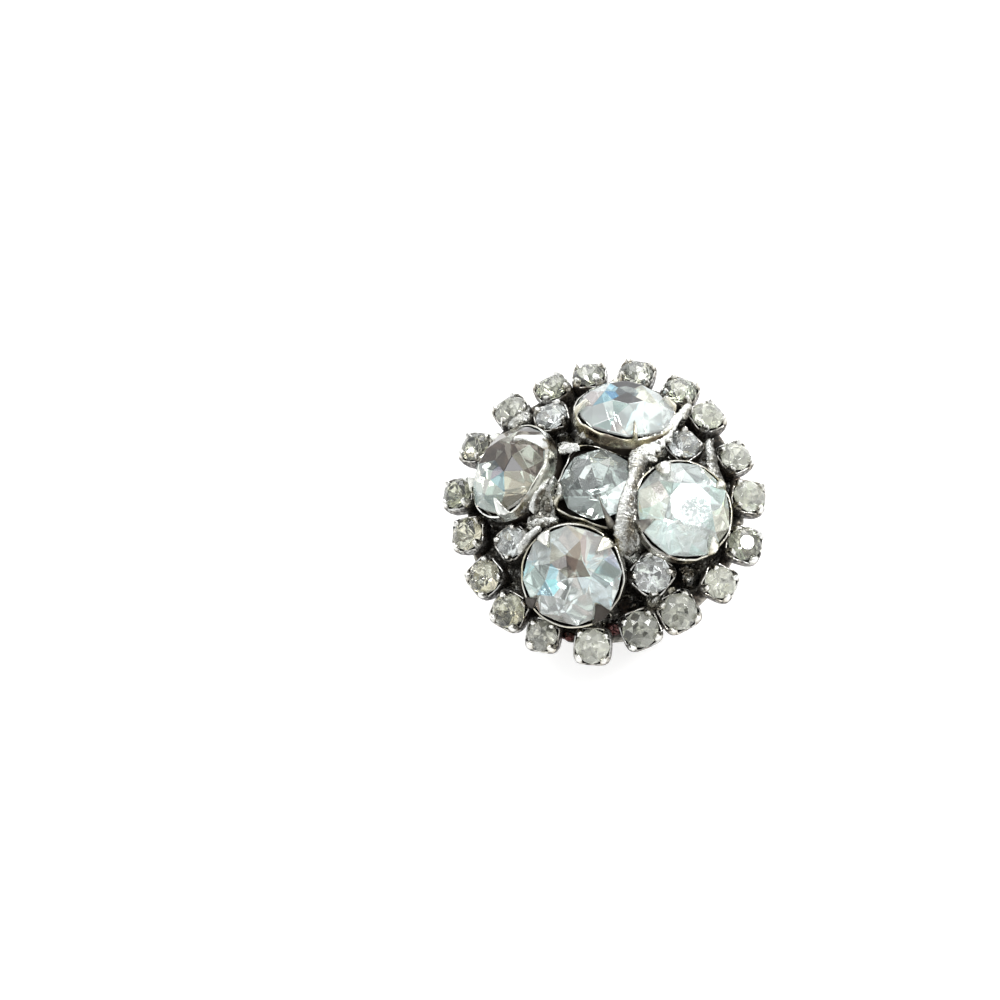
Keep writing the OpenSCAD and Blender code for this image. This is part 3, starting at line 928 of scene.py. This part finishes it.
def makeSeam(seam, seed):
    # A bar along a smoothed path, its broad side to the viewer, with seeded lumps; it closes at both ends
    seam = {**plainSeam, **seam}
    knots = np.array(seam["path"])
    t = np.linspace(0, len(knots) - 1, 24 * (len(knots) - 1) + 1)
    line = np.stack([np.interp(t, np.arange(len(knots)), knots[:, k]) for k in range(5)], 1)
    for turn in range(seam["smoothing"]):
        line[1:-1] = (line[:-2] + 2 * line[1:-1] + line[2:]) / 4
    along = np.gradient(line[:, :3], axis=0)
    step = np.linalg.norm(along, axis=1, keepdims=True)
    along = along / step
    side = np.cross(along, cameraLook["back"])
    side = side / np.linalg.norm(side, axis=1, keepdims=True)
    lift = np.cross(side, along)
    run = np.cumsum(step[:, 0]) - step[0, 0]
    toEnd = np.minimum(run, run[-1] - run) / line[:, 3] * seam["blunt"]
    closing = np.sqrt(1 - np.clip(1 - toEnd, 0, 0.995) ** 2)[:, None, None]
    turn = fullTurn(seam["sides"])[:, None]
    across, through = np.cos(turn), blunted(np.sin(turn), 0.8)
    way = across * side[:, None] * line[:, None, 3:4] + through * lift[:, None] * line[:, None, 4:5]
    middle = line[:, None, :3] + [0, 0, ringHeight]
    skin = np.moveaxis(middle + closing * way, -1, 0)
    swell = 1 + seam["lump"] * wander(*skin, seam["lumpSize"], seed)
    grain = wander(*skin, 0.12, seed + 50)
    swell = swell + 0.05 * grain
    rows = middle + closing * swell[..., None] * way
    upward = np.sin(turn)[:, 0] + 0 * line[:, :1]  # 1 on the viewer's side
    right = np.cos(turn)[:, 0] * np.sign(side[:, :1]) + 0 * line[:, :1]  # 1 on the side towards +X
    # painted shade on the side away from the viewer and on the side towards +X, lighter on the grain's
    # crests; a highlight is painted on the lit side, fading along the bar
    grime = seam["grime"] + 0.5 * smooth(-upward, -0.3, 0.6) + 0.5 * smooth(right, 0.1, 0.9) - 0.15 * grain
    fading = np.interp(run, [0, run[-1]], [1, seam["fade"]])[:, None]
    darkSide = seam["darkSide"] + 0.7 * (1 - fading)
    lit = smooth(upward, 0.1, 0.7) * smooth(-right, darkSide - 0.4, darkSide + 0.5)
    rub = seam["shine"] * fading * lit + 0.15 * grain
    return closedGrid(rows, grime, rub)


addMetal("solder", [makeSolder(solderBed, backPlate)], solderMetal, 60)
seams = [makeSeam(seam, 600 + k) for k, seam in enumerate(solderSeams.values())]
addMetal("solder_seams", seams, solderMetal, 60)
rusted = [makeSeam(seam, 700 + k) for k, seam in enumerate(rustedSeams.values())]
addMetal("rusted_joints", rusted, rustedMetal, 60)
print("plate and solder made")


# Ear clip

earClip = dict(
    thick=1.0,
    width=5.0,
    padWidth=9.0,
    footStart=-4.5,
    footTop=7.35,
    bendMiddle=5.6,
    padEnd=-8.0,
    padStart=3.0,
    padRound=3.5,
    footRound=1.2,
    squareness=5.0,  # power of the rounded section
    sides=56,
)


def makeClip(clip):
    # A flat strip's rounded section carried along the foot, round the bend and back along the pad
    half = clip["thick"] / 2
    bendRadius = (clip["footTop"] - clip["thick"]) / 2
    foot = np.linspace(0, 1, 40)[:-1] ** 1.6
    bend = np.linspace(0, np.pi, 49)
    back = 1 - (1 - np.linspace(0, 1, 90)[1:]) ** 1.5
    middle = clip["bendMiddle"]
    x = np.concatenate([
        clip["footStart"] + (middle - clip["footStart"]) * foot,
        middle + bendRadius * np.sin(bend),
        middle + (clip["padEnd"] - middle) * back,
    ])
    z = half + bendRadius + bendRadius * np.concatenate([1 + 0 * foot, np.cos(bend), -1 + 0 * back])
    run = np.concatenate([[0], np.cumsum(np.hypot(np.diff(x), np.diff(z)))])
    isPad = run > run[len(foot) + len(bend) - 1]
    pad = np.where(isPad, 1 - smooth(x, clip["padStart"] - 1.6, clip["padStart"]), 0)
    wide = (clip["width"] + (clip["padWidth"] - clip["width"]) * pad) / 2
    for toEnd, radius in [(run, clip["footRound"]), (run[-1] - run, clip["padRound"])]:
        wide = wide - radius + radius * np.sqrt(1 - np.clip(1 - toEnd / radius, 0, 1) ** 2)
    edge = np.minimum(run, run[-1] - run)
    thin = half * (1 - np.clip(1 - edge / 0.35, 0, 1) ** 3) ** 0.5
    turn = fullTurn(clip["sides"])
    power = 2 / clip["squareness"]
    across, through = blunted(np.cos(turn), power * 0.6), blunted(np.sin(turn), power)
    along = np.stack([np.gradient(x), np.gradient(z)], 1)
    along = along / np.linalg.norm(along, axis=1, keepdims=True)
    offset = thin[:, None] * through
    x, z = x[:, None] - along[:, 1:] * offset, z[:, None] + along[:, :1] * offset
    rows = np.stack([x, wide[:, None] * across, z], -1)
    grime = 0.12 + 0.12 * wander(*np.moveaxis(rows, -1, 0), 2.5, 31)
    rub = 0.5 * smooth(np.abs(across) + 0 * offset, 0.93, 1)
    return closedGrid(rows, grime, rub + 0.3 * smooth(run, run[-1] - 6, run[-1])[:, None])


clipPiece = makePiece("clip_strip", [makeClip(earClip)], clipMetal)
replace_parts(clipPiece, "ear_clip")
print("clip made")


# Stones

stoneCut = dict(  # heights as shares of the stone's width, radii as shares of its radius
    table=0.46,
    crown=0.2,
    pavilion=0.38,
    edge=0.03,
    flat=0.045,  # how far the eight flats are cut in
    crownMeet=0.55,  # where stars meet kites, on the way from the table to the girdle
    lowMeet=0.62,
    innerTable=0.52,  # the table's inner fields, as a share of the table
    polish=0.006,  # width of the rounded edges
)


def stonePoints(cut, width):
    # Rings of corners: table 8, crown meets 8, girdle top 16, girdle foot 16, low meets 8, point, then the
    # table's fields 8 and its middle
    r = width / 2
    edge = width * cut["edge"] / 2
    tableRadius = r * cut["table"]
    tableHeight = edge + width * cut["crown"]
    tip = -edge - width * cut["pavilion"]
    meetRadius = tableRadius + (r - tableRadius) * cut["crownMeet"]
    fall = (tableHeight - edge) / (r - tableRadius)
    half = np.cos(np.pi / 8)
    meetHeight = tableHeight - (meetRadius * half - tableRadius) * fall
    lowRadius = r * cut["lowMeet"]
    lowHeight = tip + lowRadius * half * (-edge - tip) / r

    def ring(radius, start, count, height):
        angle = start + np.arange(count) * 2 * np.pi / count
        return np.stack([radius * np.cos(angle), radius * np.sin(angle), 0 * angle + height], 1)

    girdle = np.where(np.arange(16) % 2 == 0, r, r * (1 - cut["flat"]))
    return np.concatenate([
        ring(tableRadius, 0, 8, tableHeight), ring(meetRadius, np.pi / 8, 8, meetHeight),
        ring(girdle, 0, 16, edge), ring(girdle, 0, 16, -edge),
        ring(lowRadius, np.pi / 8, 8, lowHeight), [[0, 0, tip]],
        ring(tableRadius * cut["innerTable"], 0, 8, tableHeight), [[0, 0, tableHeight]],
    ])


def stoneFaces():
    # Inner and outer fields of the table, stars, kites and girdle facets, then mains and lower girdle facets
    k = np.arange(8)
    n, before = (k + 1) % 8, (k + 7) % 8
    g, h = 16 + 2 * k, 16 + (2 * k + 2) % 16
    inner = np.stack([0 * k + 65, 57 + k, 57 + n], 1)
    outer = np.stack([57 + k, k, n, 57 + n], 1)
    stars = np.stack([k, 8 + k, n], 1)
    kites = np.stack([k, 8 + before, g, 8 + k], 1)
    upper = np.concatenate([np.stack([8 + k, g, g + 1], 1), np.stack([8 + k, g + 1, h], 1)])
    m = np.arange(16)
    band = np.stack([16 + m, 32 + m, 32 + (m + 1) % 16, 16 + (m + 1) % 16], 1)
    mains = np.stack([0 * k + 56, 48 + k, g + 16, 48 + before], 1)
    lower = np.concatenate([np.stack([48 + k, g + 17, g + 16], 1), np.stack([48 + k, h + 16, g + 17], 1)])
    crown = inner.tolist() + outer.tolist() + stars.tolist() + kites.tolist() + upper.tolist() + band.tolist()
    return crown, mains.tolist() + lower.tolist()


def makeGlass(name, look):
    # Glass of two mingled tints under each facet's own tint, painted reflections among them; "clear" is the
    # share that light passes through
    material, tree, shader, spot = newMaterial(name)
    colour = mixOf(tree, noiseOf(tree, spot, 2.5, 3), look["tint"], look["tintTwo"])
    colour = mixOf(tree, 1.0, colour, valueOf(tree, "foil", "Color"), "MULTIPLY")
    haze = rangeOf(tree, noiseOf(tree, spot, 0.6, 3, 0.6), 0.45, 0.8, 0.0, look["haze"])
    bump = bumpOf(tree, noiseOf(tree, spot, 0.7, 3, 0.6), look["ripple"], 0.05)
    if "wornSpot" in look:
        # a worn patch: specks of roughness and pits, fading with distance from the spot
        links = {0: spot, 1: [c * mm for c in look["wornSpot"]]}
        far = addNode(tree, "VectorMath", links, operation="DISTANCE").outputs["Value"]
        near = rangeOf(tree, far, look["wornSize"] * 0.5 * mm, look["wornSize"] * mm, 1.0, 0.0)
        worn = timesOf(tree, near, rangeOf(tree, noiseOf(tree, spot, 0.3, 3, 0.7), 0.44, 0.56))
        haze = mathOf(tree, "ADD", haze, timesOf(tree, worn, 0.5))
        colour = mixOf(tree, worn, colour, look["wornTint"])
        bump = bumpOf(tree, worn, 0.5, 0.04, bump)
    links = {"Base Color": colour, "Roughness": haze, "Normal": bump}
    fillSockets(tree, shader, {**links, "IOR": look["ior"], "Transmission Weight": look["clear"]})
    return material


def makeFoil(name, look):
    # Mirror foil in each facet's own tint, painted flashes and dark reflections among them, with stains that
    # are duller
    material, tree, shader, spot = newMaterial(name)
    tint = valueOf(tree, "foil", "Color")
    stain = rangeOf(tree, noiseOf(tree, spot, look["stainSize"], 5, 0.6), look["stainFrom"], look["stainTo"])
    fillSockets(tree, shader, {
        "Base Color": mixOf(tree, stain, tint, mixOf(tree, 1.0, tint, look["stain"], "MULTIPLY")),
        "Metallic": 1.0,
        "Roughness": rangeOf(tree, stain, 0, 1, look["roughLow"], look["roughHigh"]),
        "Normal": bumpOf(tree, noiseOf(tree, spot, look["rippleSize"], 2), look["ripple"], 0.1),
    })
    return material


clearLook = dict(tint=(0.97, 1.0, 0.985), tintTwo=(0.93, 0.97, 0.955), ior=1.56, haze=0.03, ripple=0.05)
wornLook = dict(clear=0.78, wornSpot=(9.3, -0.6, 14.5), wornSize=2.0, wornTint=(0.62, 0.68, 0.70))
clearGlass = makeGlass("clearGlass", dict(clearLook, clear=0.86))
milkyGlass = makeGlass("milkyGlass", dict(clearLook, clear=0.78))
paleGlass = makeGlass("paleGlass", dict(clearLook, clear=0.7))
wornGlass = makeGlass("wornGlass", {**clearLook, **wornLook})
agedLook = dict(tint=(0.96, 0.97, 0.91), tintTwo=(0.90, 0.91, 0.78), ior=1.54, haze=0.05, ripple=0.05)
agedGlass = makeGlass("agedGlass", dict(agedLook, clear=0.96))
paleAgedGlass = makeGlass("paleAgedGlass", dict(agedLook, clear=0.74))
milkyAgedGlass = makeGlass("milkyAgedGlass", dict(agedLook, clear=0.72))
softFoil = makeFoil("softFoil", dict(
    stain=(0.80, 0.76, 0.72), stainSize=1.8, stainFrom=0.5, stainTo=0.7,
    roughLow=0.06, roughHigh=0.24, rippleSize=1.8, ripple=0.14,
))
crispFoil = makeFoil("crispFoil", dict(
    stain=(0.70, 0.68, 0.70), stainSize=1.2, stainFrom=0.55, stainTo=0.7,
    roughLow=0.03, roughHigh=0.12, rippleSize=1.2, ripple=0.06,
))
agedFoil = makeFoil("agedFoil", dict(
    stain=(0.66, 0.66, 0.58), stainSize=0.9, stainFrom=0.5, stainTo=0.62,
    roughLow=0.05, roughHigh=0.2, rippleSize=0.8, ripple=0.04,
))

# Foil tints seen in the photo: direction in the picture from the stone's middle, kind of facet, colour
# these paint colour flashes and dark reflections onto the foil, and browned foil
foilPatches = dict(
    right=[
        (175, "low", (0.97, 0.92, 0.5)), (265, "low", (0.55, 0.57, 0.58)), (60, "main", (0.76, 0.76, 0.76)),
    ],
    top=[
        (125, "low", (0.35, 0.66, 1.0)), (90, "main", (0.30, 0.26, 0.30)), (60, "low", (0.95, 0.84, 0.66)),
    ],
    left=[
        (45, "main", (0.34, 0.30, 0.26)), (90, "main", (0.34, 0.30, 0.26)), (0, "main", (0.42, 0.37, 0.31)),
        (30, "low", (0.40, 0.35, 0.30)), (60, "low", (0.30, 0.26, 0.23)), (300, "low", (0.55, 0.72, 0.85)),
    ],
    bottom=[
        (165, "low", (0.5, 0.92, 1.0)), (70, "main", (0.50, 0.38, 0.34)), (45, "low", (0.52, 0.42, 0.39)),
        (330, "main", (0.66, 0.71, 0.76)), (110, "low", (0.93, 0.96, 0.88)),
    ],
)


paintedReflections = dict(  # colours painted on the crowns of the centre and large stones as reflections and colour flashes
    white=(0.96, 1.0, 0.99),
    silver=(0.74, 0.76, 0.75),
    mint=(0.76, 0.92, 0.88),
    sky=(0.50, 0.82, 0.96),
    blue=(0.10, 0.45, 0.82),
    cyan=(0.36, 0.90, 0.98),
    lilac=(0.66, 0.63, 0.78),
    pink=(0.86, 0.78, 0.76),
    cream=(0.92, 0.88, 0.74),
    beige=(0.46, 0.42, 0.34),
    brown=(0.15, 0.105, 0.08),
    umber=(0.052, 0.041, 0.027),
    grey=(0.42, 0.46, 0.45),
    slate=(0.10, 0.125, 0.14),
    olive=(0.05, 0.05, 0.045),
    soot=(0.010, 0.008, 0.010),
)
# Painted reflection of each inner and outer field of the table, star, kite, and first and second girdle
# facet, anticlockwise from the side that faces outwards
crownCharts = dict(
    right=dict(
        inner="white white white white white white white white",
        outer="mint white white white white white white mint",
        stars="white white white mint white white white mint",
        kites="cream mint grey silver pink white white silver",
        firsts="beige grey grey silver pink white white white",
        seconds="grey beige white silver mint white mint beige",
    ),
    top=dict(
        inner="grey slate slate soot soot slate grey grey",
        outer="soot sky blue soot soot cream cream soot",
        stars="olive white sky mint white cream grey olive",
        kites="olive white pink white white white silver olive",
        firsts="olive slate white mint white silver grey olive",
        seconds="olive grey white pink white silver olive olive",
    ),
    left=dict(
        inner="grey slate slate brown brown beige brown brown",
        outer="white mint lilac brown brown brown brown brown",
        stars="white white sky soot brown beige brown brown",
        kites="mint mint mint cream beige brown brown slate",
        firsts="mint mint beige cream brown umber umber umber",
        seconds="mint mint beige brown brown umber umber umber",
    ),
    bottom=dict(
        inner="silver white beige brown beige silver silver grey",
        outer="white white brown brown pink sky cyan silver",
        stars="white white pink beige cream grey sky white",
        kites="white white grey pink white white mint white",
        firsts="silver white lilac pink white silver mint white",
        seconds="white silver pink cream white mint brown silver",
    ),
    centre=dict(
        inner="white silver white white silver white white white",
        outer="white white silver white white white grey white",
        stars="white silver white white grey white white silver",
        kites="white white silver white white white silver white",
        firsts="silver white white grey white silver white white",
        seconds="white silver white white white grey white silver",
    ),
)


def crownTints(chart, vary, count, pick):
    # Colours of the crown's faces, in stoneFaces' order: painted reflections from a chart, and brightness
    # that varies at random; without a chart only their brightness varies
    tint = np.clip(1 - vary * np.abs(pick.normal(size=(count, 1))), 0.2, 1) * np.ones((1, 3))
    for face, word in enumerate(" ".join(chart.values()).split() if chart else []):
        tint[face] *= paintedReflections[word]
    return tint


def foilTints(points, faces, base, spread, patches, pick):
    # Each facet has its own shade, at random; named patches get their own colour, as painted flashes and dark
    # reflections and as browned foil
    shade = np.clip(1 + spread * pick.normal(size=(len(faces), 1)), 0.2, 1.25)
    tint = np.clip(base * shade * (1 + 0.015 * pick.normal(size=(len(faces), 3))), 0, 1)
    middles = np.array([points[face].mean(0) for face in faces]) - points.mean(0)
    aim = np.degrees(np.arctan2(middles @ cameraLook["up"], middles @ cameraLook["right"]))
    kinds = np.array(["main" if len(face) == 4 else "low" for face in faces])
    for direction, kind, colour in patches:
        off = np.abs((aim - direction + 180) % 360 - 180) + 1000 * (kinds != kind)
        tint[np.argmin(off)] = colour
    return tint


def makeStone(nodeName, seat, look, base, seed, patches=(), chart=None):
    # The node's stone cut again, facet for facet, with glass above and foil below, each facet in its own
    # tint, painted reflections among them
    pick = np.random.default_rng(seed)
    points = atSeat(stonePoints(stoneCut, seat["width"]), seat, seat["spin"])
    crown, pavilion = stoneFaces()
    mesh = bpy.data.meshes.new(nodeName + "_cut")
    mesh.from_pydata((points * mm).tolist(), [], crown + pavilion)
    mesh.materials.append(look["glass"])
    mesh.materials.append(look["foil"])
    isFoil = np.arange(len(crown) + len(pavilion)) >= len(crown)
    mesh.polygons.foreach_set("material_index", isFoil.astype(np.int32))
    tint = np.ones((len(isFoil), 4), np.float32)
    tint[isFoil, :3] = foilTints(points, pavilion, np.array(base), look["spread"], patches, pick)
    tint[~isFoil, :3] = crownTints(chart, look["vary"], len(crown), pick)
    mesh.attributes.new("foil", "FLOAT_COLOR", "FACE").data.foreach_set("color", tint.ravel())
    mesh.shade_flat()
    piece = addObject(nodeName + "_cut", mesh)
    bevel = piece.modifiers.new("polishedEdges", "BEVEL")
    bevel.width = stoneCut["polish"] * seat["width"] * mm
    bevel.segments = 1
    bevel.limit_method = "ANGLE"
    bevel.angle_limit = np.radians(2)
    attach(piece, "root")
    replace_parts(piece, nodeName)


# spread is how much the foil's shades differ, vary how much the crown's brightness does
stoneLooks = dict(
    centre=dict(glass=clearGlass, foil=crispFoil, slot="clear_glass", spread=0.55, vary=0.05),
    large=dict(foil=softFoil, slot="clear_glass", spread=0.16, vary=0.09),
    accent=dict(glass=clearGlass, foil=crispFoil, slot="clear_glass", spread=0.4, vary=0.1),
    ring=dict(glass=agedGlass, foil=agedFoil, slot="aged_glass", spread=0.6, vary=0.22),
)
largeGlass = dict(right=wornGlass, top=paleGlass, left=milkyGlass, bottom=milkyGlass)
stoneBases = dict(  # brightness and tint of the foil before each facet's own shade
    centre=(0.92, 0.98, 0.95),
    right=(0.93, 0.97, 0.95),
    top=(0.92, 0.96, 0.96),
    left=(0.88, 0.91, 0.90),
    bottom=(0.94, 0.97, 0.95),
    accent=(0.99, 1.0, 0.99),
    aged=(0.93, 0.95, 0.88),
    dark=(0.88, 0.87, 0.78),
)
accentSeeds = [520, 521, 526, 527]
# Painted brightness of each ring stone's foil, standing in for how much light it mirrors
ringPaintedLight = [
    0.74, 1.32, 1.44, 1.24, 0.7, 0.9, 0.77, 0.86, 1.12, 0.8, 0.9, 1.06, 1.0, 1.08, 1.2, 1.5, 1.21, 1.21, 1.32,
]


def ringLook(shade):  # the brighter ring stones have paler or milky glass
    if shade > 1.21:
        return dict(stoneLooks["ring"], glass=milkyAgedGlass)
    if shade > 1.1:
        return dict(stoneLooks["ring"], glass=paleAgedGlass, vary=0.5)
    return stoneLooks["ring"]


centreTints = ((), crownCharts["centre"])
makeStone("centre_stone", centreSeat, stoneLooks["centre"], stoneBases["centre"], 500, *centreTints)
for k, name in enumerate(largeNames):
    look = dict(stoneLooks["large"], glass=largeGlass[name])
    tints = (foilPatches[name], crownCharts[name])
    makeStone("large_stone_" + name, largeSeats[name], look, stoneBases[name], 510 + k, *tints)
for k, seat in enumerate(accentSeats):
    makeStone(f"accent_stone_{k + 1}", seat, stoneLooks["accent"], stoneBases["accent"], accentSeeds[k])
agedBase, darkBase = np.array(stoneBases["aged"]), np.array(stoneBases["dark"])
for k, seat in enumerate(ringSeats):
    # the foils have yellowed more on the side away from the hinge and below
    older = smooth(-0.75 * seat["middle"][0] - 0.65 * seat["middle"][1], -2, 13)
    base = (agedBase + (darkBase - agedBase) * older) * (1 + 0.01 * dice.normal(size=3)) * ringPaintedLight[k]
    makeStone(f"ring_stone_{k + 1}", seat, ringLook(ringPaintedLight[k]), base, 540 + k)
print("stones made")
